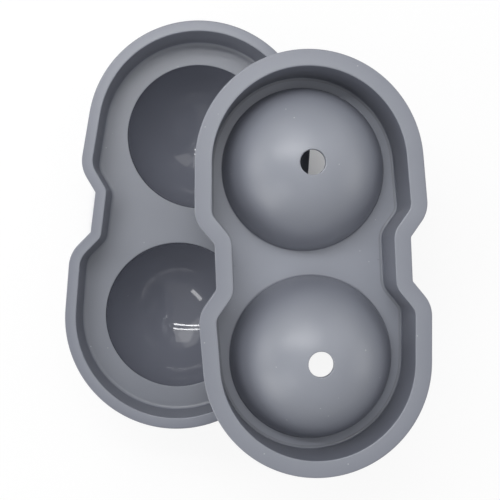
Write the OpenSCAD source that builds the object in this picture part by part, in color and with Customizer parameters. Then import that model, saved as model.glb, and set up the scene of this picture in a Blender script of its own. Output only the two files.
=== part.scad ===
// Two-part silicone mould for ice balls. The lower half holds two bowls in the floor of a figure-eight
// tray. The upper half is a matching tray with two domes and a fill hole in the top of each dome.
// Closed, the upper half drops into the lower half's recess, floor on floor, and each bowl and dome
// make one ball. Open, the upper half lies across the lower half's rim, turned a little.

/* [Ice balls] */
// Diameter of each ice ball
ball_d = 60; // [52:1:68]
// Distance between the two ball centres
pitch = 75; // [70:1:90]
// Wall of the bowls and the domes
shell = 2.5; // [1.5:0.1:4]
// Diameter of the fill hole in each dome
fill_d = 9.5; // [6:0.5:14]

/* [Outline] */
// Flat land from a ball's edge out to the seat wall
land = 9.5; // [8:0.1:13]
// How far the waist is drawn in from the round ends
waist_in = 6.2; // [5:0.1:7.5]
// Length of the waist on the seat wall, corner to corner
waist_len = 19.6; // [14:0.2:24]
// Angle between the waist's shoulders and the long axis
shoulder_angle = 37.5; // [32:0.5:45]
// Angle at which the sides widen towards the waist
side_flare = 2.5; // [0:0.5:4]
// Radius of the shoulders on the seat wall
shoulder_r = 8; // [6.5:0.5:11]
// Radius left at the outer corners of the waist
waist_corner_r = 0.5; // [0.2:0.1:2]

/* [Lower half] */
// Depth of the recess that takes the upper half
recess_h = 16; // [8:0.5:18]
// How far the recess wall leans out from floor to rim
recess_lean = 0.9; // [0.4:0.1:1.4]
// Width of the lower half's rim
lower_rim_w = 4.4; // [3:0.1:6]
// Thickness of the floor between the bowls and the recess wall
lower_floor_t = 2.5; // [1.5:0.1:4]
// Thickness of the skirt that the lower half stands on
skirt_t = 3; // [2:0.1:4]
// How far the outer side leans in from rim to table
skirt_lean = 1; // [0.4:0.1:1.6]
// Height of the bowls above the table
foot_gap = 1; // [0.5:0.5:4]
// Radius between the recess floor and its wall
recess_fillet = 1.5; // [0.8:0.1:1.8]

/* [Upper half] */
// Gap between the upper half's wall and the recess wall, all round
seat_gap = 0.2; // [0.1:0.05:0.5]
// Thickness of the wall at the floor
upper_wall_t = 2.3; // [1.8:0.1:3.5]
// Thickness of the floor between the domes
upper_floor_t = 2.5; // [1.5:0.1:4]
// Height of the rim above the underside
upper_h = 25; // [22:0.5:30]
// Width of the upper half's rim
upper_rim_w = 6.5; // [5.5:0.1:7.5]
// Thickness of the rim's outer edge
flange_t = 3.5; // [2.5:0.1:5]
// How far the inner wall leans out from floor to rim
inner_lean = 0.1; // [0:0.05:0.5]
// Radius between the floor and the inner wall
inner_fillet = 0.8; // [0.4:0.1:1.2]

/* [Edges] */
// Radius of the rims' edges
rim_edge_r = 0.5; // [0.3:0.1:1.2]
// Radius of the edges at the foot
foot_edge_r = 0.6; // [0.3:0.1:1]

/* [Layout] */
// How the two halves lie
layout = "open"; // [open, closed]
// How far the upper half lies to the right of the lower half, open
lay_right = 48.6; // [44:0.1:60]
// How far the upper half lies towards the front, open
lay_front = 9.8; // [0:0.1:20]
// Turn of the upper half on the lower half, open
lay_turn = 9.2; // [0:0.1:15]
// Gap between the upper half and the rim that it lies on, open
lay_gap = 0.3; // [0.1:0.1:1]

/* [Hidden] */
$fn = 96;

// Steps in each rounding of a section, and in each arc of the seat line
round_steps = 2;
end_steps = 12;
shoulder_steps = 4;
hollow_steps = 3;
// Overlap of a floor plate with the floor that is part of a wall's section
plate_lap = 1;
// Room that a cut takes past the face it goes through
cut_room = 1;

silicone_grey = [0.56, 0.57, 0.60];
silicone_dark = [0.50, 0.51, 0.55];

ball_r = ball_d / 2;
shell_r = ball_r + shell;
fill_r = fill_d / 2;
half_pitch = pitch / 2;
seat_r = ball_r + land;

// Heights of the lower half above the table
floor_z = foot_gap + shell + ball_r;
rim_z = floor_z + recess_h;

// Distances outwards from the seat wall at the recess floor
lower_rim_in = recess_lean;
lower_rim_out = lower_rim_in + lower_rim_w;
skirt_out = lower_rim_out - skirt_lean;
skirt_in = skirt_out - skirt_t;
upper_foot = -seat_gap;
upper_inner_foot = upper_foot - upper_wall_t;
upper_rim_in = upper_inner_foot + inner_lean;
upper_rim_out = upper_rim_in + upper_rim_w;
flange_z = upper_h - flange_t;

// Slopes, as distance outwards for each unit of height
recess_slope = recess_lean / recess_h;
skirt_slope = skirt_lean / rim_z;

// Reach of the floor that belongs to each wall's section
lower_stub = -(recess_fillet + 2 * plate_lap);
upper_stub = upper_inner_foot - inner_fillet - 2 * plate_lap;

// The seat line, in the quarter to the right and to the back
waist_x = seat_r - waist_in;
waist_y = waist_len / 2;
hollow_r = max(lower_rim_out, upper_rim_out) + waist_corner_r;
side_normal = [cos(side_flare), sin(side_flare)];
shoulder_normal = [cos(shoulder_angle), -sin(shoulder_angle)];
end_centre = [0, half_pitch];
side_reach = end_centre * side_normal + seat_r;
shoulder_reach = [waist_x, waist_y] * shoulder_normal;
shoulder_centre = meet(side_normal, side_reach - shoulder_r, shoulder_normal, shoulder_reach - shoulder_r);
hollow_centre = meet([1, 0], waist_x + hollow_r, shoulder_normal, shoulder_reach + hollow_r);

// Point where two lines cross, each given by its normal and its distance from the origin
function meet(n1, d1, n2, d2) =
    let (det = n1[0] * n2[1] - n1[1] * n2[0])
    [(d1 * n2[1] - d2 * n1[1]) / det, (n1[0] * d2 - n2[0] * d1) / det];

function unit(v) = v / norm(v);

// Points of an arc about c, from angle a to angle b
function arc(c, r, a, b, steps) =
    [for (i = [0:steps]) c + r * [cos(a + (b - a) * i / steps), sin(a + (b - a) * i / steps)]];

// Points that round the corner q between its neighbours p and s
function rounded(p, q, s, r) =
    let (
        u = unit(p - q),
        v = unit(s - q),
        half = acos(u * v) / 2,
        c = q + unit(u + v) * r / sin(half),
        from = q + u * r / tan(half) - c,
        to = q + v * r / tan(half) - c,
        a = atan2(from[1], from[0]),
        sweep = atan2(from[0] * to[1] - from[1] * to[0], from * to)
    )
    arc(c, r, a, a + sweep, round_steps);

// Outline of a section from its corners, each [outwards, up, radius]
function section(corners) =
    let (n = len(corners), flat = [for (c = corners) [c[0], c[1]]])
    [for (i = [0:n - 1])
        each corners[i][2] > 0
            ? rounded(flat[(i + n - 1) % n], flat[i], flat[(i + 1) % n], corners[i][2])
            : [flat[i]]];

function facing(a) = [cos(a), sin(a)];
function backwards(list) = [for (i = [len(list) - 1:-1:0]) list[i]];

// Places on the seat line, each [point, outward direction], from the back end to the waist on the right
right_back = concat(
    [for (i = [0:end_steps])
        let (out = facing(90 + (side_flare - 90) * i / end_steps))
        [end_centre + seat_r * out, out]],
    [for (i = [0:shoulder_steps])
        let (out = facing(side_flare - (side_flare + shoulder_angle) * i / shoulder_steps))
        [shoulder_centre + shoulder_r * out, out]],
    [for (i = [0:hollow_steps])
        let (out = facing(-shoulder_angle * (1 - i / hollow_steps)))
        [hollow_centre - hollow_r * out, out]]);

// The whole seat line: the right side from back to front, then the left side from front to back
right_side = concat(right_back, [for (p = backwards(right_back)) [for (v = p) [v[0], -v[1]]]]);
left_side = [for (p = backwards(right_side)) [for (v = p) [-v[0], v[1]]]];
seat_line = concat(right_side, [for (i = [1:len(left_side) - 2]) left_side[i]]);

// The seat line moved outwards by d
function outline(d) = [for (p = seat_line) p[0] + d * p[1]];

// A section, its corners in clockwise order, carried all the way round the seat line
module around_seat(corners) {
    drawn = section(corners);
    places = len(seat_line);
    steps = len(drawn);
    points = [for (p = seat_line, c = drawn) [each p[0] + c[0] * p[1], c[1]]];
    faces = [for (i = [0:places - 1], j = [0:steps - 1])
        let (here = i * steps, next = ((i + 1) % places) * steps, up = (j + 1) % steps)
        [here + j, here + up, next + up, next + j]];
    polyhedron(points, faces);
}

// Puts a copy on the axis of each ball
module at_balls() {
    for (end = [-1, 1])
        translate([0, end * half_pitch, 0])
            children();
}

// Corners of the recess floor, recess wall, rim, skirt and floor's underside, each [outwards, up, radius]
lower_section = [
    [lower_stub, floor_z, 0],
    [0, floor_z, recess_fillet],
    [lower_rim_in, rim_z, rim_edge_r],
    [lower_rim_out, rim_z, rim_edge_r],
    [skirt_out, 0, foot_edge_r],
    [skirt_in, 0, foot_edge_r],
    [skirt_in + skirt_slope * (floor_z - lower_floor_t), floor_z - lower_floor_t, recess_fillet],
    [lower_stub, floor_z - lower_floor_t, 0]
];

// Corners of the edge of the floor, inner wall, rim, flange and seat wall, up from the underside
upper_section = [
    [upper_stub, upper_floor_t, 0],
    [upper_inner_foot, upper_floor_t, inner_fillet],
    [upper_rim_in, upper_h, rim_edge_r],
    [upper_rim_out, upper_h, rim_edge_r],
    [upper_rim_out, flange_z, rim_edge_r],
    [upper_foot + recess_slope * flange_z, flange_z, rim_edge_r],
    [upper_foot, 0, recess_fillet + seat_gap],
    [upper_stub, 0, 0]
];

// The half of a ball's shell that lies above its middle
module half_shell() {
    intersection() {
        sphere(shell_r);
        translate([0, 0, shell_r])
            cube(2 * shell_r, center = true);
    }
}

// Tray with a skirt, a recess and two bowls
module lower_half() {
    color(silicone_grey)
        difference() {
            union() {
                around_seat(lower_section);
                translate([0, 0, floor_z - lower_floor_t])
                    linear_extrude(lower_floor_t)
                        polygon(outline(lower_stub + plate_lap));
                at_balls()
                    translate([0, 0, floor_z])
                        mirror([0, 0, 1])
                            half_shell();
            }
            at_balls()
                translate([0, 0, floor_z])
                    sphere(ball_r);
        }
}

// Tray with a flange, two domes and their fill holes, in its own frame on its underside
module upper_tray() {
    difference() {
        union() {
            around_seat(upper_section);
            linear_extrude(upper_floor_t)
                polygon(outline(upper_stub + plate_lap));
            at_balls()
                half_shell();
        }
        at_balls()
            sphere(ball_r);
        at_balls()
            cylinder(r = fill_r, h = shell_r + cut_room);
    }
}

// The upper tray where it lies, across the lower half's rim or seated in its recess
module upper_half() {
    color(silicone_dark)
        if (layout == "closed")
            translate([0, 0, floor_z])
                upper_tray();
        else
            translate([lay_right, -lay_front, rim_z + lay_gap])
                rotate(lay_turn)
                    upper_tray();
}

lower_half();
upper_half();
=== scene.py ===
"""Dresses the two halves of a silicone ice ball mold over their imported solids.

Lengths are metres in the part's own frame: the table is z = 0 and the mold's long axis is Y.
"""

import logging
import math
from abc import ABC, abstractmethod
from dataclasses import dataclass, field
from enum import Enum

import bpy
import numpy as np
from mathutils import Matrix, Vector


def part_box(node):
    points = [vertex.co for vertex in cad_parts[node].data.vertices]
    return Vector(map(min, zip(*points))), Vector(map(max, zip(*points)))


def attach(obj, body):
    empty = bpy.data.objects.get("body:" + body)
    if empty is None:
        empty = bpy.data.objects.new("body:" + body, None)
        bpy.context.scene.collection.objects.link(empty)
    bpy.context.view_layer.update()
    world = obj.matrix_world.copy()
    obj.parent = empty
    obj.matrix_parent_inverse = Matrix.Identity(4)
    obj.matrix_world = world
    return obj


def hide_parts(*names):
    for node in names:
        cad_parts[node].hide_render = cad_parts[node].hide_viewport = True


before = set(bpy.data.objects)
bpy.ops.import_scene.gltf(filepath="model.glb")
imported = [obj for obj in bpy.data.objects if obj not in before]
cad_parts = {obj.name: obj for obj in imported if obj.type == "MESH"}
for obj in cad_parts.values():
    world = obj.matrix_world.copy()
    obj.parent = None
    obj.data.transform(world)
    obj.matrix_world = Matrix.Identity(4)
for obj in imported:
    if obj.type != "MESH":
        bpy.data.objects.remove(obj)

log = logging.getLogger("ice_ball_mold")

MM = 0.001
# Points closer than this are one point
WELD = 1e-8
# What the lamps point at
MIDDLE = Vector((0.025, 0.0, 0.04))
# Name of the attribute that gives each point its finish and its painted light or shade
FINISH_AND_SHADE = "finish_and_shade"
# A side this many times longer than the brace gets braced
LONG_SIDE = 4
# Rows of a flat floor, as shares of the way from its edge to the ball, closer at both ends
LAND_SHARES = np.array([0.0, 0.04, 0.2, 0.5, 0.8, 0.96, 1.0])
# Places of a Mix node's sockets for colours
MIX_SHARE, MIX_FIRST, MIX_SECOND, MIX_COLOUR = 0, 6, 7, 2
# Mean of a noise texture
NOISE_MIDDLE = 0.5
WHITE = (1.0, 1.0, 1.0, 1.0)


class Zone(Enum):
    """Silicone finishes and painted light and shade, as values of the polish attribute."""

    # Paler than satin: painted light on the upper half's floor and the domes' crowns
    PAINTED_LIGHT = -0.5
    SATIN = 0.0
    # Without grain and darker: painted shade on the inner walls, rim edges and dome feet
    DRAWN_SHADED = 0.5
    POLISHED = 1.0


class End(Enum):
    """The two ends of the mold, as signs along Y."""

    BACK = 1
    FRONT = -1


def opaque(red: float, green: float, blue: float) -> tuple[float, float, float, float]:
    """A colour that hides what is behind it."""
    return red, green, blue, 1.0


def facing(angle: np.ndarray) -> np.ndarray:
    """Unit vectors at angles in radians: cosine and sine, side by side."""
    return np.stack([np.cos(angle), np.sin(angle)], axis=-1)


def arc(centre: np.ndarray, radius: float, start: float, end: float, steps: int) -> np.ndarray:
    """Points of a circle's arc: the centre plus the radius times each facing direction.

    Args:
        centre: Middle of the circle.
        radius: Radius of the circle.
        start: First angle, in radians.
        end: Last angle, in radians.
        steps: Number of equal steps between them.

    Returns:
        Points, (steps + 1, 2).
    """
    return np.asarray(centre) + radius * facing(np.linspace(start, end, steps + 1))


def rounded(corners: np.ndarray, steps: int) -> np.ndarray:
    """Rounds the inner corners of an open line.

    Each corner gives way to the arc that touches both of its sides: the arc's centre lies on the
    bisector, at the radius over the sine of half the corner's angle.

    Args:
        corners: Corners with their radii, (n, 3); the first and the last stay sharp.
        steps: Steps in each arc.

    Returns:
        Points of the rounded line, (m, 2).
    """
    flat = corners[:, :2]
    here, radius = flat[1:-1], corners[1:-1, 2:]
    before = unit(flat[:-2] - here)
    after = unit(flat[2:] - here)
    half = np.arccos(np.sum(before * after, axis=1, keepdims=True)) / 2
    centre = here + unit(before + after) * radius / np.sin(half)
    first = here + before * radius / np.tan(half) - centre
    last = here + after * radius / np.tan(half) - centre
    across = first[:, 0] * last[:, 1] - first[:, 1] * last[:, 0]
    turn = np.arctan2(across, np.sum(first * last, axis=1))[:, None]
    start = np.arctan2(first[:, 1], first[:, 0])[:, None]
    angle = start + turn * np.linspace(0, 1, steps + 1)
    arcs = centre[:, None] + radius[:, None] * facing(angle)
    return np.concatenate([flat[:1], arcs.reshape(-1, 2), flat[-1:]])


def unit(vectors: np.ndarray) -> np.ndarray:
    """Vectors divided by their lengths."""
    return vectors / np.linalg.norm(vectors, axis=-1, keepdims=True)


def braced(line: np.ndarray, reach: float) -> np.ndarray:
    """Adds a point close to both ends of each long side of a line, so that flat faces shade flat.

    Args:
        line: Points of the line, (n, 2).
        reach: Distance of the new points from the side's ends; shorter sides get none.

    Returns:
        The line with its new points, (m, 2).
    """
    side = np.diff(line, axis=0)
    length = np.linalg.norm(side, axis=1)
    hop = side * (reach / np.maximum(length, WELD))[:, None]
    stops = np.stack([line[:-1], line[:-1] + hop, line[1:] - hop], axis=1)
    long = length > LONG_SIDE * reach
    keep = np.stack([np.ones_like(long), long, long], axis=1)
    return np.concatenate([stops[keep], line[-1:]])


def crossing(n1: np.ndarray, d1: float, n2: np.ndarray, d2: float) -> np.ndarray:
    """Point where two lines cross, each given by its normal and its distance from the origin."""
    return np.linalg.solve(np.stack([n1, n2]), np.array([d1, d2]))


@dataclass(frozen=True)
class SeatLine:
    """The figure-eight line at the foot of the seat wall, which both halves follow."""

    seat_r: float = 39.5 * MM
    half_pitch: float = 37.5 * MM
    waist_in: float = 6.2 * MM
    waist_len: float = 19.6 * MM
    shoulder_angle: float = math.radians(37.5)
    side_flare: float = math.radians(2.5)
    shoulder_r: float = 8 * MM
    hollow_r: float = 5.8 * MM
    end_steps: int = 64
    shoulder_steps: int = 20
    hollow_steps: int = 16
    run_steps: int = 7
    bridge_steps: int = 48

    def centre(self, end: End) -> np.ndarray:
        """Axis of the ball at one end, in plan."""
        return np.array([0.0, end.value * self.half_pitch])

    def quarter(self) -> tuple[np.ndarray, np.ndarray]:
        """Places on the line from the middle of the waist to the back end, on the right.

        Three arcs are joined by straight runs along their common tangents: the hollow of the waist,
        which curves outwards, the shoulder, and the end about the ball's axis.

        Returns:
            Points and outward directions, each (n, 2).
        """
        waist = np.array([self.seat_r - self.waist_in, self.waist_len / 2])
        side_out, slope_out = facing(np.array([self.side_flare, -self.shoulder_angle]))
        end = self.centre(End.BACK)
        side = end @ side_out + self.seat_r
        slope = waist @ slope_out
        shoulder = crossing(side_out, side - self.shoulder_r, slope_out, slope - self.shoulder_r)
        waist_out = np.array([1.0, 0.0])
        hollow = crossing(waist_out, waist[0] + self.hollow_r, slope_out, slope + self.hollow_r)
        hollow_turn = np.linspace(0, -self.shoulder_angle, self.hollow_steps + 1)
        shoulder_turn = np.linspace(-self.shoulder_angle, self.side_flare, self.shoulder_steps + 1)
        end_turn = np.linspace(self.side_flare, math.pi / 2, self.end_steps + 1)
        bends = [
            hollow - self.hollow_r * facing(hollow_turn),
            shoulder + self.shoulder_r * facing(shoulder_turn),
            end + self.seat_r * facing(end_turn),
        ]
        share = np.linspace(0, 1, self.run_steps + 1)[1:-1, None]
        starts = [np.array([waist[0], 0.0]), bends[0][-1], bends[1][-1]]
        runs = [p + (bend[0] - p) * share for p, bend in zip(starts, bends)]
        stretches = [stretch for pair in zip(runs, bends) for stretch in pair]
        points = np.concatenate([starts[:1], *stretches])
        held = [np.zeros(self.run_steps), np.full(self.run_steps - 1, -self.shoulder_angle),
                np.full(self.run_steps - 1, self.side_flare)]
        turns = np.concatenate([held[0], hollow_turn, held[1], shoulder_turn, held[2], end_turn])
        points[-1, 0] = 0.0
        return points, facing(turns)

    def ring(self, offset: np.ndarray) -> np.ndarray:
        """The whole line, moved outwards, from the right of the waist round by the back.

        The quarter is mirrored in X, turned half round, and mirrored in Y, and each copy leaves out
        its last place, which the next one starts with.

        Args:
            offset: Distances outwards, (k,).

        Returns:
            Points, (k, places, 2).
        """
        point, out = self.quarter()
        moved = point + np.asarray(offset)[:, None, None] * out
        moved[:, -1, 0] = 0.0
        across = (moved * [-1, 1])[:, ::-1]
        below = (moved * [1, -1])[:, ::-1]
        return np.concatenate([part[:, :-1] for part in (moved, across, -moved, below)], axis=1)

    def lobe(self, offset: float, end: End) -> np.ndarray:
        """Edge of the floor about one ball: half of the moved line, closed across the waist.

        Args:
            offset: Distance of the floor's edge outwards from the line.
            end: Which ball.

        Returns:
            Points, (n, 2), in the same sense as the ring.
        """
        ring = self.ring(np.array([offset]))[0]
        half = len(ring) // 2
        turned = np.roll(ring, 0 if end is End.BACK else -half, axis=0)[:half + 1]
        share = np.linspace(0, 1, self.bridge_steps + 1)[1:-1, None]
        return np.concatenate([turned, turned[-1] + (turned[0] - turned[-1]) * share])


class Skin:
    """Grids of points, each closed round its columns, that are welded into one closed mesh."""

    def __init__(self) -> None:
        """Starts with no grid."""
        self.points: list[np.ndarray] = []
        self.finish_and_shade: list[np.ndarray] = []
        self.quads: list[np.ndarray] = []

    def add(self, grid: np.ndarray, finish_and_shade: np.ndarray) -> None:
        """Adds a grid, with a face between each four neighbours.

        Args:
            grid: Points, (rows, columns, 3); the last column joins the first.
            finish_and_shade: Value on each row of the attribute for finish and painted light or
                shade, (rows,).
        """
        rows, columns = grid.shape[:2]
        start = sum(len(p) for p in self.points)
        index = np.arange(rows * columns).reshape(rows, columns) + start
        following = np.roll(index, -1, axis=1)
        quads = np.stack([index[:-1], index[1:], following[1:], following[:-1]], axis=-1)
        self.points.append(grid.reshape(-1, 3))
        self.finish_and_shade.append(np.repeat(finish_and_shade, columns))
        self.quads.append(quads.reshape(-1, 4))

    def mesh(self, name: str) -> bpy.types.Mesh:
        """Welds the grids where their points meet, turns the quads at a pole into triangles.

        Args:
            name: Name of the mesh.

        Returns:
            The mesh, soft-shaded, with its attribute for finish and painted light or shade.
        """
        points = np.concatenate(self.points)
        keys = np.round(points / WELD).astype(np.int64)
        _, first, inverse = np.unique(keys, axis=0, return_index=True, return_inverse=True)
        quads = inverse.reshape(-1)[np.concatenate(self.quads)]
        pole_first = quads[:, 0] == quads[:, 3]
        pole_last = quads[:, 1] == quads[:, 2]
        whole = quads[~pole_first & ~pole_last]
        corners = np.concatenate([quads[pole_first][:, :3], quads[pole_last][:, [0, 1, 3]]])
        mesh = bpy.data.meshes.new(name)
        mesh.from_pydata(points[first].tolist(), [], whole.tolist() + corners.tolist())
        mesh.polygons.foreach_set("use_smooth", np.ones(len(mesh.polygons), bool))
        finish_and_shade = mesh.attributes.new(FINISH_AND_SHADE, "FLOAT", "POINT")
        finish_and_shade.data.foreach_set("value", np.concatenate(self.finish_and_shade)[first].astype(np.float32))
        mesh.update()
        return mesh


class Signal:
    """A node's output that Python's operators work on, each adding one Math node."""

    def __init__(self, board: "Board", socket: bpy.types.NodeSocket) -> None:
        """Keeps the board that the socket is on."""
        self.board = board
        self.socket = socket

    def math(self, operation: str, *terms: "Signal | float") -> "Signal":
        """One Math node on these terms."""
        return self.board.signal("ShaderNodeMath", {"operation": operation}, dict(enumerate(terms)))

    def __add__(self, other: "Signal | float") -> "Signal":
        """Sum."""
        return self.math("ADD", self, other)

    def __radd__(self, other: float) -> "Signal":
        """Sum with a number first."""
        return self.math("ADD", other, self)

    def __sub__(self, other: "Signal | float") -> "Signal":
        """Difference."""
        return self.math("SUBTRACT", self, other)

    def __rsub__(self, other: float) -> "Signal":
        """Difference from a number."""
        return self.math("SUBTRACT", other, self)

    def __mul__(self, other: "Signal | float") -> "Signal":
        """Product."""
        return self.math("MULTIPLY", self, other)

    def __rmul__(self, other: float) -> "Signal":
        """Product with a number first."""
        return self.math("MULTIPLY", other, self)

    def at_most(self, other: "Signal | float") -> "Signal":
        """The smaller of two values."""
        return self.math("MINIMUM", self, other)

    def at_least(self, other: "Signal | float") -> "Signal":
        """The larger of two values."""
        return self.math("MAXIMUM", self, other)

    def rise(self, start: float, end: float) -> "Signal":
        """A soft step from 0, where this value is at the start, to 1, where it is at the end."""
        inputs = {"Value": self, "From Min": start, "From Max": end}
        return self.board.signal("ShaderNodeMapRange", {"interpolation_type": "SMOOTHSTEP"}, inputs)


class Board:
    """The node tree of a material or the world."""

    def __init__(self, tree: bpy.types.NodeTree) -> None:
        """Takes over a tree and empties it."""
        self.tree = tree
        tree.nodes.clear()

    def node(self, kind: str, settings: dict[str, object],
             inputs: dict[str | int, object]) -> bpy.types.Node:
        """Adds one node.

        Args:
            kind: Type name of the node.
            settings: Properties of the node, set before its sockets.
            inputs: Values, signals or sockets, by the input's name or place.

        Returns:
            The node.
        """
        node = self.tree.nodes.new(kind)
        for key, value in settings.items():
            setattr(node, key, value)
        for key, value in inputs.items():
            source = value.socket if isinstance(value, Signal) else value
            if isinstance(source, bpy.types.NodeSocket):
                self.tree.links.new(source, node.inputs[key])
            else:
                node.inputs[key].default_value = source
        return node

    def signal(self, kind: str, settings: dict[str, object], inputs: dict[str | int, object],
               output: str | int = 0) -> Signal:
        """Adds one node and gives one of its outputs.

        Args:
            kind: Type name of the node.
            settings: Properties of the node.
            inputs: Values or signals for its sockets.
            output: Name or place of the output.

        Returns:
            The output.
        """
        return Signal(self, self.node(kind, settings, inputs).outputs[output])

    def mix(self, share: Signal, first: object, second: object) -> Signal:
        """Mixes two colours.

        Args:
            share: Share of the second colour.
            first: Colour at share 0.
            second: Colour at share 1.

        Returns:
            The mixed colour.
        """
        inputs = {MIX_SHARE: share, MIX_FIRST: first, MIX_SECOND: second}
        return self.signal("ShaderNodeMix", {"data_type": "RGBA"}, inputs, MIX_COLOUR)

    def ray(self, kind: str) -> Signal:
        """1 on rays of one kind, and 0 on the rest."""
        return self.signal("ShaderNodeLightPath", {}, {}, f"Is {kind} Ray")


@dataclass(frozen=True)
class SiliconeFinish:
    """Grey silicone: satin, paler as painted light, darker as painted shade, glossy in the
    cavities.
    """

    name: str = "grey_silicone"
    satin: tuple[float, float, float] = (0.240, 0.254, 0.292)
    satin_pale: tuple[float, float, float] = (0.268, 0.282, 0.323)
    # Darker grey without grain: painted shade on the inner walls, rim edges and dome feet, and the
    # tone of the glossy cavities
    smooth_and_shaded_grey: tuple[float, float, float] = (0.184, 0.194, 0.234)
    dust: tuple[float, float, float] = (0.62, 0.63, 0.65)
    satin_roughness: float = 0.36
    polished_roughness: float = 0.07
    roughness_spread: float = 0.08
    ior: float = 1.41
    specular: float = 1.0
    cloud_scale: float = 42.0
    cloud_detail: float = 3.0
    cloud_roughness: float = 0.55
    painted_light_gain: float = 0.3
    # How much paler the satin is where painted light is laid on it
    grain_scale: float = 2600.0
    grain_detail: float = 2.0
    grain_roughness: float = 0.6
    grain_height: float = 0.05 * MM
    grain_strength: float = 0.5
    dust_scale: float = 150.0
    dust_r: float = 0.04
    dust_cover: float = 0.5
    dust_shed: float = 0.6

    def material(self) -> bpy.types.Material:
        """Builds the material.

        A soft cloud shifts the satin grey between two tints and its roughness with it. A fine
        grain stands as bump on the satin. Below the satin value the grey is paler, which is painted
        light. Towards the walls' value it turns darker and loses its grain, which is painted shade
        on the inner walls, rim edges and dome feet and the darker tone of the glossy cavities; the
        part above the walls' value is gloss. Dust is the few cells of a scatter whose middle lies
        within a small radius of the surface. Silicone without grain sheds part of it.

        Returns:
            The material.
        """
        material = bpy.data.materials.new(self.name)
        material.use_nodes = True
        board = Board(material.node_tree)
        place = board.signal("ShaderNodeTexCoord", {}, {}, "Object")
        finish_and_shade = board.signal("ShaderNodeAttribute", {"attribute_name": FINISH_AND_SHADE}, {}, "Fac")
        cloud = board.signal("ShaderNodeTexNoise", {}, {
            "Vector": place, "Scale": self.cloud_scale, "Detail": self.cloud_detail,
            "Roughness": self.cloud_roughness})
        grain = board.signal("ShaderNodeTexNoise", {}, {
            "Vector": place, "Scale": self.grain_scale, "Detail": self.grain_detail,
            "Roughness": self.grain_roughness})
        spot = board.signal("ShaderNodeTexVoronoi", {}, {
            "Vector": place, "Scale": self.dust_scale, "Randomness": 1.0}, "Distance")
        dust = spot.math("LESS_THAN", spot, self.dust_r) * self.dust_cover
        satin = board.mix(cloud, opaque(*self.satin), opaque(*self.satin_pale))
        # smooth is 1 from the walls' value up: darker grey as painted shade, no grain, less dust;
        # gloss is what lies above that value
        level = finish_and_shade * (1 / Zone.DRAWN_SHADED.value)
        smooth_and_shade = level.at_most(1.0).at_least(0.0)
        gloss = (level - 1.0).at_least(0.0)
        # Painted light: where the value is below satin, the satin grey is scaled paler
        painted_light = (finish_and_shade * (1 / Zone.PAINTED_LIGHT.value)).at_least(0.0)
        lit_satin = board.signal("ShaderNodeVectorMath", {"operation": "SCALE"}, {
            0: satin, "Scale": 1 + painted_light * self.painted_light_gain})
        clean = board.mix(smooth_and_shade, lit_satin, opaque(*self.smooth_and_shaded_grey))
        colour = board.mix(dust * (1 - smooth_and_shade * self.dust_shed), clean, opaque(*self.dust))
        satin_rough = self.satin_roughness + (cloud - NOISE_MIDDLE) * self.roughness_spread
        rough = satin_rough * (1 - gloss) + gloss * self.polished_roughness
        bump = board.signal("ShaderNodeBump", {}, {
            "Strength": self.grain_strength, "Distance": self.grain_height,
            "Height": grain * (1 - smooth_and_shade)})
        skin = board.node("ShaderNodeBsdfPrincipled", {}, {
            "Base Color": colour, "Roughness": rough, "IOR": self.ior,
            "Specular IOR Level": self.specular, "Normal": bump})
        board.node("ShaderNodeOutputMaterial", {}, {"Surface": skin.outputs[0]})
        return material


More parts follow.
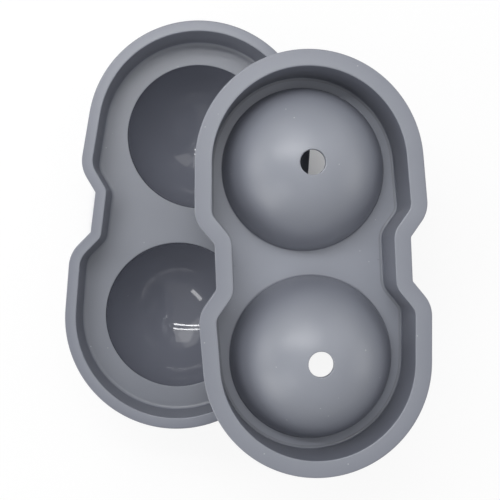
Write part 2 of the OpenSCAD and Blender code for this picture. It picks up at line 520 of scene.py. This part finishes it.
@dataclass(frozen=True)
class Moulding(ABC):
    """One half of the mold: a wall carried round the seat line, and a floor with two half balls.

    The rim's painted shade is how dark and grainless its inner and outer edges are, as shares
    of the inner walls' value.
    """

    seat: SeatLine = field(default_factory=SeatLine)
    ball_r: float = 30 * MM
    shell: float = 2.5 * MM
    floor_t: float = 2.5 * MM
    recess_h: float = 16 * MM
    recess_lean: float = 0.9 * MM
    recess_fillet: float = 1.5 * MM
    rim_edge_r: float = 0.5 * MM
    # Painted shade at the rim's inner and outer edge, as shares of the inner walls' darkness
    rim_shade: tuple[float, float] = (0.0, 0.0)
    mouth_edge_r: float = 0.25 * MM
    mouth_steps: int = 4
    round_steps: int = 7
    ball_steps: int = 40
    brace: float = 0.35 * MM

    @property
    def shell_r(self) -> float:
        """Outer radius of a bowl or dome."""
        return self.ball_r + self.shell

    @property
    def recess_slope(self) -> float:
        """Lean of the seat wall, outwards for each unit of height."""
        return self.recess_lean / self.recess_h

    @property
    @abstractmethod
    def name(self) -> str:
        """Name of the node and body that this half stands for."""

    @property
    @abstractmethod
    def floor_edge(self) -> float:
        """Where the floor meets the wall's section, outwards from the seat line."""

    @abstractmethod
    def section(self) -> np.ndarray:
        """Corners of the wall from the floor's top to its underside, as [outwards, up, radius]."""

    @abstractmethod
    def floors(self, skin: Skin, end: End) -> None:
        """Adds the floor and the half ball at one end to the skin."""

    @abstractmethod
    def placed(self, points: np.ndarray) -> np.ndarray:
        """Moves points from the half's own frame to where it lies."""

    def wall(self) -> tuple[np.ndarray, np.ndarray]:
        """The wall: its rounded section carried round the seat line.

        The inner wall between the middles of the arcs at its foot and its rim is darker and
        without grain, which is painted shade, the rim grows darker outwards, also painted shade,
        and the rest is satin.

        Returns:
            Points, (rows, places, 3), and each row's value of finish and painted shade, (rows,).
        """
        section = self.section()
        line = braced(rounded(section, self.round_steps), self.brace)
        plan = self.seat.ring(line[:, 0])
        height = np.broadcast_to(line[:, 1, None, None], (*plan.shape[:2], 1))
        foot, rim, edge = section[1:4]
        inner = line[:, 0] < max(foot[0], rim[0]) + rim[2] / 2
        top = line[:, 1] > rim[1] - rim[2] / 2
        # Inner wall: darker, as painted shade, and without grain
        drawn_shaded = inner & (line[:, 1] > foot[1] + foot[2] / 2) & ~top
        # Rim: darker towards its outer edge, as painted shade
        rim_darkening = Zone.DRAWN_SHADED.value * np.interp(line[:, 0], [rim[0], edge[0]], self.rim_shade)
        finish_and_shade = np.select([drawn_shaded, top], [Zone.DRAWN_SHADED.value, rim_darkening], Zone.SATIN.value)
        return np.concatenate([plan, height], axis=2), finish_and_shade

    def land(self, edge: np.ndarray, centre: np.ndarray, radius: float,
             height: float) -> np.ndarray:
        """Flat floor between its edge and a circle, on straight spokes towards the ball's axis.

        Args:
            edge: Edge of the floor, (n, 2).
            centre: Axis of the ball, in plan.
            radius: Radius of the circle.
            height: Height of the floor.

        Returns:
            Points, (rows, n, 3), from the edge inwards.
        """
        inner = centre + radius * unit(edge - centre)
        plan = edge + (inner - edge) * LAND_SHARES[:, None, None]
        return np.concatenate([plan, np.full((*plan.shape[:2], 1), height)], axis=2)

    def turned(self, edge: np.ndarray, centre: np.ndarray, line: np.ndarray) -> np.ndarray:
        """A line of radii and heights turned about the ball's axis, with a place on each spoke.

        Args:
            edge: Edge of the floor, which gives the spokes, (n, 2).
            centre: Axis of the ball, in plan.
            line: Radii and heights, (rows, 2).

        Returns:
            Points, (rows, n, 3).
        """
        plan = centre + line[:, 0, None, None] * unit(edge - centre)
        height = np.broadcast_to(line[:, 1, None, None], (*plan.shape[:2], 1))
        return np.concatenate([plan, height], axis=2)

    def mouth(self) -> np.ndarray:
        """A ball's inside from its lowest point to the rounded edge of its mouth, about its centre.

        The edge's arc touches the ball from outside and the mouth's plane from below, so its centre
        lies at the ball's radius plus its own from the ball's centre, and its own radius down.

        Returns:
            Radii and heights, (n, 2), the mouth's plane at 0.
        """
        edge_r = self.mouth_edge_r
        reach = self.ball_r + edge_r
        dip = math.asin(edge_r / reach)
        inside = arc((0, 0), self.ball_r, -math.pi / 2, -dip, self.ball_steps)
        inside[0, 0] = 0.0
        middle = (reach * math.cos(dip), -edge_r)
        edge = arc(middle, edge_r, math.pi - dip, math.pi / 2, self.mouth_steps)
        return np.concatenate([inside, edge[1:]])

    def build(self, material: bpy.types.Material) -> bpy.types.Object:
        """Makes the half, dresses it, and puts it in place of its solid.

        Args:
            material: The finish.

        Returns:
            The object.
        """
        skin = Skin()
        wall, finish_and_shade = self.wall()
        skin.add(self.placed(wall), finish_and_shade)
        for end in End:
            self.floors(skin, end)
        piece = bpy.data.objects.new(f"{self.name}_silicone", skin.mesh(f"{self.name}_silicone"))
        piece.data.materials.append(material)
        bpy.context.scene.collection.objects.link(piece)
        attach(piece, self.name)
        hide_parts(self.name)
        return piece


@dataclass(frozen=True)
class LowerHalf(Moulding):
    """Tray with a flat rim, a recess for the upper half, two bowls in its floor, and a skirt."""

    rim_w: float = 4.4 * MM
    # Painted shade: the lower half's rim darkens strongly towards its outer edge
    rim_shade: tuple[float, float] = (0.15, 0.9)
    skirt_t: float = 3 * MM
    skirt_lean: float = 1 * MM
    foot_edge_r: float = 0.6 * MM
    under_root_r: float = 1 * MM

    @property
    def name(self) -> str:
        """Name of the node and body that this half stands for."""
        return "lower_half"

    @property
    def rim_z(self) -> float:
        """Height of the rim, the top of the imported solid."""
        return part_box(self.name)[1].z

    @property
    def floor_z(self) -> float:
        """Height of the recess floor."""
        return self.rim_z - self.recess_h

    @property
    def floor_edge(self) -> float:
        """Where the floor meets the wall's section, outwards from the seat line."""
        return -(self.recess_fillet + self.brace)

    def section(self) -> np.ndarray:
        """Corners of the recess floor, its wall, the rim, the skirt and the floor's underside."""
        rim_out = self.recess_lean + self.rim_w
        foot_out = rim_out - self.skirt_lean
        foot_in = foot_out - self.skirt_t
        under_z = self.floor_z - self.floor_t
        under_in = foot_in + self.skirt_lean * under_z / self.rim_z
        return np.array([
            (self.floor_edge, self.floor_z, 0),
            (0, self.floor_z, self.recess_fillet),
            (self.recess_lean, self.rim_z, self.rim_edge_r),
            (rim_out, self.rim_z, self.rim_edge_r),
            (foot_out, 0, self.foot_edge_r),
            (foot_in, 0, self.foot_edge_r),
            (under_in, under_z, self.recess_fillet),
            (self.floor_edge, under_z, 0),
        ])

    def floors(self, skin: Skin, end: End) -> None:
        """Adds the recess floor with its bowl, and the underside with the bowl's outside.

        Args:
            skin: The skin that gets them.
            end: Which ball.
        """
        edge = self.seat.lobe(self.floor_edge, end)
        centre = self.seat.centre(end)
        mouth = self.mouth() + [0, self.floor_z]
        land = self.land(edge, centre, mouth[-1, 0], self.floor_z)
        bowl = self.turned(edge, centre, mouth)
        grid = np.concatenate([bowl, land[-2::-1]])
        cavity = np.arange(len(grid)) <= self.ball_steps
        skin.add(grid, np.where(cavity, Zone.POLISHED.value, Zone.SATIN.value))
        root = self.under_root_r
        reach = self.shell_r + root
        dip = math.asin((self.floor_t + root) / reach)
        middle = (reach * math.cos(dip), -reach * math.sin(dip))
        fillet = arc(middle, root, math.pi / 2, math.pi - dip, self.round_steps)
        belly = arc((0, 0), self.shell_r, -dip, -math.pi / 2, self.ball_steps)
        belly[-1, 0] = 0.0
        line = np.concatenate([fillet, belly[1:]]) + [0, self.floor_z]
        under = self.land(edge, centre, line[0, 0], self.floor_z - self.floor_t)
        grid = np.concatenate([under[:-1], self.turned(edge, centre, line)])
        skin.add(grid, np.full(len(grid), Zone.SATIN.value))

    def placed(self, points: np.ndarray) -> np.ndarray:
        """The lower half's own frame is the part's frame."""
        return points


@dataclass(frozen=True)
class UpperHalf(Moulding):
    """Tray with an outward flange, two domes on its floor, and a fill hole in each dome.

    A dome's outside goes through the three heights of its crown from darker at its foot, which
    is painted shade, over satin to paler at its top, which is painted light.
    """

    height: float = 25 * MM
    rim_w: float = 6.5 * MM
    # Painted shade: the upper half's rim darkens towards its outer edge
    rim_shade: tuple[float, float] = (0.0, 0.5)
    flange_t: float = 3.5 * MM
    wall_t: float = 2.3 * MM
    inner_lean: float = 0.1 * MM
    inner_fillet: float = 0.8 * MM
    seat_gap: float = 0.2 * MM
    root_r: float = 0.4 * MM
    fill_r: float = 4.75 * MM
    fill_edge_r: float = 0.35 * MM
    # Heights of the dome's foot, middle and crown: darker at the foot as painted shade, paler at
    # the crown as painted light
    crown_h: tuple[float, float, float] = (10 * MM, 26 * MM, 32.5 * MM)
    crown_painted_light: float = 0.3
    right: float = 48.6 * MM
    front: float = 9.8 * MM
    turn: float = math.radians(9.2)

    @property
    def name(self) -> str:
        """Name of the node and body that this half stands for."""
        return "upper_half"

    @property
    def underside_z(self) -> float:
        """Height at which the half lies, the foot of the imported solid."""
        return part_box(self.name)[0].z

    @property
    def inner_foot(self) -> float:
        """Foot of the inner wall, outwards from the seat line."""
        return -(self.seat_gap + self.wall_t)

    @property
    def floor_edge(self) -> float:
        """Where the floor meets the wall's section, outwards from the seat line."""
        return self.inner_foot - self.inner_fillet - self.brace

    def section(self) -> np.ndarray:
        """Corners from the floor up the inner wall, over the rim and flange, down the seat wall."""
        rim_in = self.inner_foot + self.inner_lean
        rim_out = rim_in + self.rim_w
        flange_z = self.height - self.flange_t
        return np.array([
            (self.floor_edge, self.floor_t, 0),
            (self.inner_foot, self.floor_t, self.inner_fillet),
            (rim_in, self.height, self.rim_edge_r),
            (rim_out, self.height, self.rim_edge_r),
            (rim_out, flange_z, self.rim_edge_r),
            (self.recess_slope * flange_z - self.seat_gap, flange_z, self.rim_edge_r),
            (-self.seat_gap, 0, self.recess_fillet + self.seat_gap),
            (self.floor_edge, 0, 0),
        ])

    def dome(self) -> np.ndarray:
        """A dome from its mouth up the inside, through the fill hole and down the outside.

        The hole's edges are arcs that touch the bore and the ball or the shell, and the root is an
        arc that touches the shell and the floor.

        Returns:
            Radii and heights, (n, 2), the underside at 0.
        """
        inside = (self.mouth() * [1, -1])[::-1]
        edge, bore = self.fill_edge_r, self.fill_r
        low = math.asin((bore + edge) / (self.ball_r + edge))
        high = math.asin((bore + edge) / (self.shell_r - edge))
        low_middle = (bore + edge, (self.ball_r + edge) * math.cos(low))
        high_middle = (bore + edge, (self.shell_r - edge) * math.cos(high))
        lower_edge = arc(low_middle, edge, -math.pi / 2 - low, -math.pi, self.round_steps)
        upper_edge = arc(high_middle, edge, math.pi, math.pi / 2 - high, self.round_steps)
        root = self.root_r
        rise = math.asin((self.floor_t + root) / (self.shell_r + root))
        inner = self.ball_r * np.sin(low)
        inside = inside[inside[:, 0] > inner + WELD]
        shell = arc((0, 0), self.shell_r, math.pi / 2 - high, rise, self.ball_steps)
        reach = self.shell_r + root
        middle = (reach * math.cos(rise), reach * math.sin(rise))
        foot = arc(middle, root, rise - math.pi, -math.pi / 2, self.round_steps)
        return np.concatenate([inside, lower_edge, upper_edge, shell[1:], foot[1:]])

    def floors(self, skin: Skin, end: End) -> None:
        """Adds the underside, the dome inside and out, and the floor as one grid.

        The dome is glossy inside. Outside it goes in step with the height from darker at its steep
        foot, which is painted shade, over satin to paler at its crown, which is painted light, and
        the floor is paler all over, which is painted light.

        Args:
            skin: The skin that gets them.
            end: Which ball.
        """
        edge = self.seat.lobe(self.floor_edge, end)
        centre = self.seat.centre(end)
        line = self.dome()
        under = self.land(edge, centre, line[0, 0], 0.0)
        floor = self.land(edge, centre, line[-1, 0], self.floor_t)
        dome = self.turned(edge, centre, line)
        grid = np.concatenate([under[:-1], dome, floor[-2::-1]])
        radius = np.hypot(line[:, 0], line[:, 1])
        # Dome outside by height: painted shade at the foot, satin, painted light at the crown
        crown = [Zone.DRAWN_SHADED.value, Zone.SATIN.value, self.crown_painted_light * Zone.PAINTED_LIGHT.value]
        outside = radius > self.ball_r + self.shell / 2
        cavity = radius < self.ball_r + WELD
        shaded = np.interp(line[:, 1], self.crown_h, crown)
        finish_and_shade = np.select([cavity, outside], [Zone.POLISHED.value, shaded], Zone.SATIN.value)
        rows = (len(under) - 1, len(floor) - 1)
        # The underside is satin; the floor around the domes is paler all over, painted light
        floors = (Zone.SATIN.value, Zone.PAINTED_LIGHT.value)
        skin.add(self.placed(grid), np.pad(finish_and_shade, rows, constant_values=floors))

    def placed(self, points: np.ndarray) -> np.ndarray:
        """Turns the half about the upright axis and lays it across the lower half's rim.

        Args:
            points: Points in the half's own frame, (..., 3).

        Returns:
            Points in the part's frame.
        """
        c, s = math.cos(self.turn), math.sin(self.turn)
        turn = np.array([[c, -s, 0], [s, c, 0], [0, 0, 1]])
        return points @ turn.T + [self.right, -self.front, self.underside_z]


class Aim(Enum):
    """Where a lamp points."""

    MOLD = "mold"
    DOWN = "down"


@dataclass(frozen=True)
class Softbox:
    """A soft area lamp, a panel or a tube, which gloss shows where it is mirrored."""

    name: str
    place: tuple[float, float, float]
    size: tuple[float, float]
    radiance: float
    aim: Aim = Aim.MOLD
    mirrored: bool = True

    def build(self) -> bpy.types.Object:
        """Hangs the lamp; its power is pi times its area times its radiance.

        Returns:
            The lamp.
        """
        lamp = bpy.data.lights.new(self.name, "AREA")
        lamp.shape = "RECTANGLE"
        lamp.size, lamp.size_y = self.size
        lamp.energy = math.pi * self.size[0] * self.size[1] * self.radiance
        piece = bpy.data.objects.new(self.name, lamp)
        piece.location = self.place
        piece.visible_glossy = self.mirrored
        if self.aim is Aim.MOLD:
            piece.rotation_euler = (piece.location - MIDDLE).to_track_quat("Z", "Y").to_euler()
        bpy.context.scene.collection.objects.link(piece)
        return piece


@dataclass(frozen=True)
class Shade:
    """A patch of table that shows the mold's shadow in full: a capsule along Y with a soft edge."""

    x: float
    front: float
    back: float
    inner_r: float
    outer_r: float

    def cleared(self, x: Signal, y: Signal) -> Signal:
        """Share of the table that is clear of this patch.

        The distance from the capsule's middle line is the length of the step across it and the step
        past its ends, and the share rises with it from 0 at the inner radius to 1 at the outer.

        Args:
            x: Place on the table, across.
            y: Place on the table, along.

        Returns:
            The share.
        """
        across = x - self.x
        past = y - y.at_least(self.front).at_most(self.back)
        return x.math("SQRT", across * across + past * past).rise(self.inner_r, self.outer_r)


@dataclass(frozen=True)
class Studio:
    """White table and room, soft lamps, and the camera above the mold."""

    floor_size: float = 6.0
    floor_colour: float = 0.96
    floor_white: float = 0.86
    foot_shade: Shade = Shade(0.0, -37.5 * MM, 37.5 * MM, 41.5 * MM, 46.5 * MM)
    nook_shade: Shade = Shade(50 * MM, -20 * MM, 45 * MM, 10 * MM, 32 * MM)
    room_light: float = 0.26
    lens: float = 66.3615
    lens_near: float = 10 * MM
    camera_place: tuple[float, float, float] = (-0.022 * MM, -13.136 * MM, 419.91 * MM)
    camera_turn: tuple[float, float, float] = (0.4077, -4.0182, 6.8608)
    lamps: tuple[Softbox, ...] = (
        Softbox("front_tube", (-0.34, 0.25, 0.8), (0.84, 0.03), 18.5, Aim.DOWN),
        Softbox("back_tube", (-0.34, 0.37, 0.8), (0.84, 0.03), 17.0, Aim.DOWN),
        Softbox("top_panel", (0.1, -0.1, 1.0), (1.3, 1.3), 0.6, Aim.DOWN, False),
        Softbox("back_panel", (-0.2, 0.65, 0.8), (0.6, 0.5), 1.2, Aim.DOWN),
        Softbox("left_back_panel", (-0.7, 0.7, 0.85), (1.1, 1.1), 0.7),
        Softbox("right_back_panel", (0.7, 0.7, 0.85), (1.0, 1.0), 0.65),
        Softbox("left_panel", (-0.95, 0.0, 0.4), (0.6, 0.4), 1.8),
        Softbox("right_panel", (0.95, 0.0, 0.4), (0.6, 0.4), 1.2),
        Softbox("left_front_panel", (-0.67, -0.67, 0.4), (0.6, 0.4), 2.1),
        Softbox("left_lamp", (-0.45, -0.6, 0.8), (0.38, 0.12), 4.5),
    )

    @property
    def far_white(self) -> float:
        """Brightness to the eye of floor that the room alone lights."""
        return self.floor_white + (1 - self.floor_white) * self.floor_colour * self.room_light

    def shown_white(self, board: Board) -> Signal:
        """Share of plain white in the floor, which leaves the rest to the mold's shadow.

        It is 0 at the mold's foot and in the nook beside it, under the upper half.

        Args:
            board: Tree of the floor's material.

        Returns:
            The share.
        """
        place = board.signal("ShaderNodeTexCoord", {}, {}, "Object")
        x, y = (board.signal("ShaderNodeSeparateXYZ", {}, {0: place}, axis) for axis in "XY")
        clear = self.foot_shade.cleared(x, y) * self.nook_shade.cleared(x, y)
        seen = board.ray("Camera") + board.ray("Glossy") + board.ray("Transmission")
        return seen.at_most(1.0) * clear * self.floor_white

    def floor(self) -> bpy.types.Object:
        """A flat square of floor, mostly white to the eye, which keeps the mold's shadow.

        Returns:
            The floor.
        """
        half = self.floor_size / 2
        corner = np.array([(-half, -half, 0), (half, -half, 0), (half, half, 0), (-half, half, 0)])
        mesh = bpy.data.meshes.new("table")
        mesh.from_pydata(corner.tolist(), [], [(0, 1, 2, 3)])
        material = bpy.data.materials.new("white_table")
        material.use_nodes = True
        board = Board(material.node_tree)
        grey = opaque(self.floor_colour, self.floor_colour, self.floor_colour)
        matt = board.node("ShaderNodeBsdfDiffuse", {}, {"Color": grey})
        white = board.node("ShaderNodeEmission", {}, {"Color": WHITE, "Strength": 1.0})
        shown = board.node("ShaderNodeMixShader", {}, {
            0: self.shown_white(board), 1: matt.outputs[0], 2: white.outputs[0]})
        board.node("ShaderNodeOutputMaterial", {}, {"Surface": shown.outputs[0]})
        mesh.materials.append(material)
        piece = bpy.data.objects.new("table", mesh)
        bpy.context.scene.collection.objects.link(piece)
        return piece

    def room(self) -> None:
        """A plain room that gives a little even light and looks as white as the far floor."""
        world = bpy.data.worlds.new("white_room")
        bpy.context.scene.world = world
        world.use_nodes = True
        board = Board(world.node_tree)
        light, back = (
            board.node("ShaderNodeBackground", {}, {"Color": WHITE, "Strength": strength})
            for strength in (self.room_light, self.far_white))
        shown = board.node("ShaderNodeMixShader", {}, {
            0: board.ray("Camera"), 1: light.outputs[0], 2: back.outputs[0]})
        board.node("ShaderNodeOutputWorld", {}, {"Surface": shown.outputs[0]})

    def camera(self) -> bpy.types.Object:
        """The camera that looks down on the mold, as the photograph does.

        Returns:
            The camera.
        """
        lens = bpy.data.cameras.new("camera")
        lens.lens = self.lens
        lens.clip_start = self.lens_near
        piece = bpy.data.objects.new("camera", lens)
        piece.location = self.camera_place
        piece.rotation_euler = [math.radians(a) for a in self.camera_turn]
        bpy.context.scene.collection.objects.link(piece)
        bpy.context.scene.camera = piece
        return piece

    def build(self) -> None:
        """Sets up the camera, floor, room and lamps."""
        bpy.context.scene.view_settings.view_transform = "Standard"
        self.camera()
        self.floor()
        self.room()
        for lamp in self.lamps:
            lamp.build()
            log.info("lamp %s", lamp.name)


def corners(box: tuple[Vector, Vector]) -> list[list[float]]:
    """A box's lowest and highest corner as plain lists."""
    return [list(corner) for corner in box]


def main() -> None:
    """Builds the studio and both halves."""
    logging.basicConfig(level=logging.INFO, format="%(name)s: %(message)s")
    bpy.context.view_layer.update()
    Studio().build()
    silicone = SiliconeFinish().material()
    for half in (LowerHalf(), UpperHalf()):
        piece = half.build(silicone)
        mesh = piece.data
        log.info("%s: %d vertices, %d faces", piece.name, len(mesh.vertices), len(mesh.polygons))


if __name__ == "__main__":
    main()
